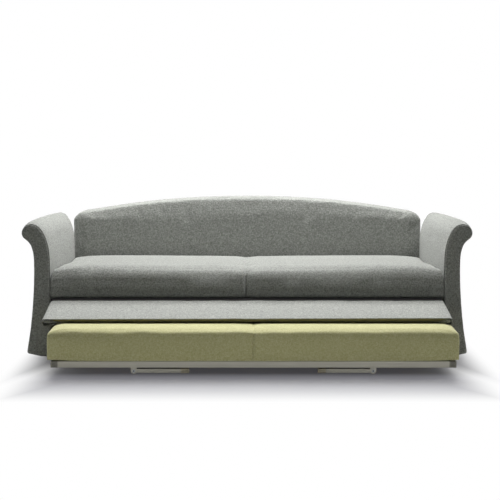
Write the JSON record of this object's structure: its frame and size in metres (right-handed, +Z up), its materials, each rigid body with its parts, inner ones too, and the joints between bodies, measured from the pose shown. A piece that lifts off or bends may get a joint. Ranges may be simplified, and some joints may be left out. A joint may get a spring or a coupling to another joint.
{
  "type": "sofa bed",
  "caption": "Three-seat sofa bed with scroll arms, arched back, long seat mattress, hinged front flap and a pull-out bed on folding legs.",
  "frame": {"origin": "on the floor, under the middle of the bounding box with the pull-out bed at its rest position", "axes": "+X along the sofa's width, to the right seen from the front; +Y from the front to the back; +Z up"},
  "size_m": [2.2654, 1.34, 0.781],
  "materials": {
    "fabric_grey": "matte",
    "fabric_green": "matte",
    "timber": "satin",
    "satin_steel": "satin",
    "dark_steel": "satin",
    "zinc": "satin",
    "dark_plastic": "matte"
  },
  "bodies": {
    "sofa": {"left_arm_wrap": "fabric_grey", "left_arm_front_panel": "fabric_grey", "left_arm_rear_panel": "fabric_grey", "left_arm_welt": "fabric_grey", "right_arm_wrap": "fabric_grey", "right_arm_front_panel": "fabric_grey", "right_arm_rear_panel": "fabric_grey", "right_arm_welt": "fabric_grey", "back_band": "fabric_grey", "back_front_pad": "fabric_grey", "back_lower_panel": "fabric_grey", "back_rear_panel": "fabric_grey", "seat_mattress": "fabric_grey", "left_arm_frame": "timber", "right_arm_frame": "timber", "back_frame": "timber", "seat_slats": "timber", "seat_front_rail": "dark_steel", "seat_rear_rail": "dark_steel", "seat_side_rails": "dark_steel", "arm_bolts": "zinc", "back_bolts": "zinc", "flap_hinge_fixed_leaves": "zinc", "flap_hinge_pins": "zinc", "arm_glides": "dark_plastic", "back_glides": "dark_plastic", "seat_slat_holders": "dark_plastic"},
    "flap": {"flap_hinge_moving_leaves": "zinc", "flap_board": "timber", "flap_cover": "fabric_grey", "flap_end_rolls": "fabric_grey"},
    "trundle": {"trundle_front_rail": "satin_steel", "trundle_rear_rail": "satin_steel", "trundle_side_rails": "satin_steel", "trundle_corner_blocks": "dark_plastic", "trundle_slats": "timber", "trundle_slat_holders": "dark_plastic", "trundle_mattress": "fabric_green", "leg_brackets": "satin_steel", "leg_pivot_pins": "zinc", "roller_forks": "zinc", "roller_axles": "zinc"},
    "left_leg": {"left_leg_posts": "satin_steel", "left_leg_crossbar": "satin_steel", "left_leg_feet": "dark_plastic"},
    "right_leg": {"right_leg_posts": "satin_steel", "right_leg_crossbar": "satin_steel", "right_leg_feet": "dark_plastic"},
    "front_left_roller": {"front_left_roller": "dark_plastic"},
    "front_right_roller": {"front_right_roller": "dark_plastic"},
    "rear_left_roller": {"rear_left_roller": "dark_plastic"},
    "rear_right_roller": {"rear_right_roller": "dark_plastic"}
  },
  "joints": [
    {"name": "trundle_slide", "type": "slide", "parent": "sofa", "child": "trundle", "axis": [0, -1, 0], "range_m": [-0.4, 0.4]},
    {"name": "flap_hinge", "type": "hinge", "parent": "sofa", "child": "flap", "pos_m": [0, -0.28577, 0.305], "axis": [-1, 0, 0], "range_deg": [0, 85]},
    {"name": "left_leg_fold", "type": "hinge", "parent": "trundle", "child": "left_leg", "pos_m": [-0.534, -0.27, 0.033], "axis": [0, 1, 0], "range_deg": [0, 90]},
    {"name": "right_leg_fold", "type": "hinge", "parent": "trundle", "child": "right_leg", "pos_m": [0.594, -0.27, 0.033], "axis": [0, -1, 0], "range_deg": [0, 90]},
    {"name": "front_left_roller_spin", "type": "hinge", "parent": "trundle", "child": "front_left_roller", "pos_m": [-0.9125, -0.44, 0.02], "axis": [1, 0, 0], "continuous": true},
    {"name": "front_right_roller_spin", "type": "hinge", "parent": "trundle", "child": "front_right_roller", "pos_m": [0.9725, -0.44, 0.02], "axis": [1, 0, 0], "continuous": true},
    {"name": "rear_left_roller_spin", "type": "hinge", "parent": "trundle", "child": "rear_left_roller", "pos_m": [-0.9125, 0.04, 0.02], "axis": [1, 0, 0], "continuous": true},
    {"name": "rear_right_roller_spin", "type": "hinge", "parent": "trundle", "child": "rear_right_roller", "pos_m": [0.9725, 0.04, 0.02], "axis": [1, 0, 0], "continuous": true}
  ],
  "couplings": [
    {"joint": "front_left_roller_spin", "follows": "trundle_slide", "rad_per_m": 50},
    {"joint": "front_right_roller_spin", "follows": "trundle_slide", "rad_per_m": 50},
    {"joint": "rear_left_roller_spin", "follows": "trundle_slide", "rad_per_m": 50},
    {"joint": "rear_right_roller_spin", "follows": "trundle_slide", "rad_per_m": 50}
  ]
}
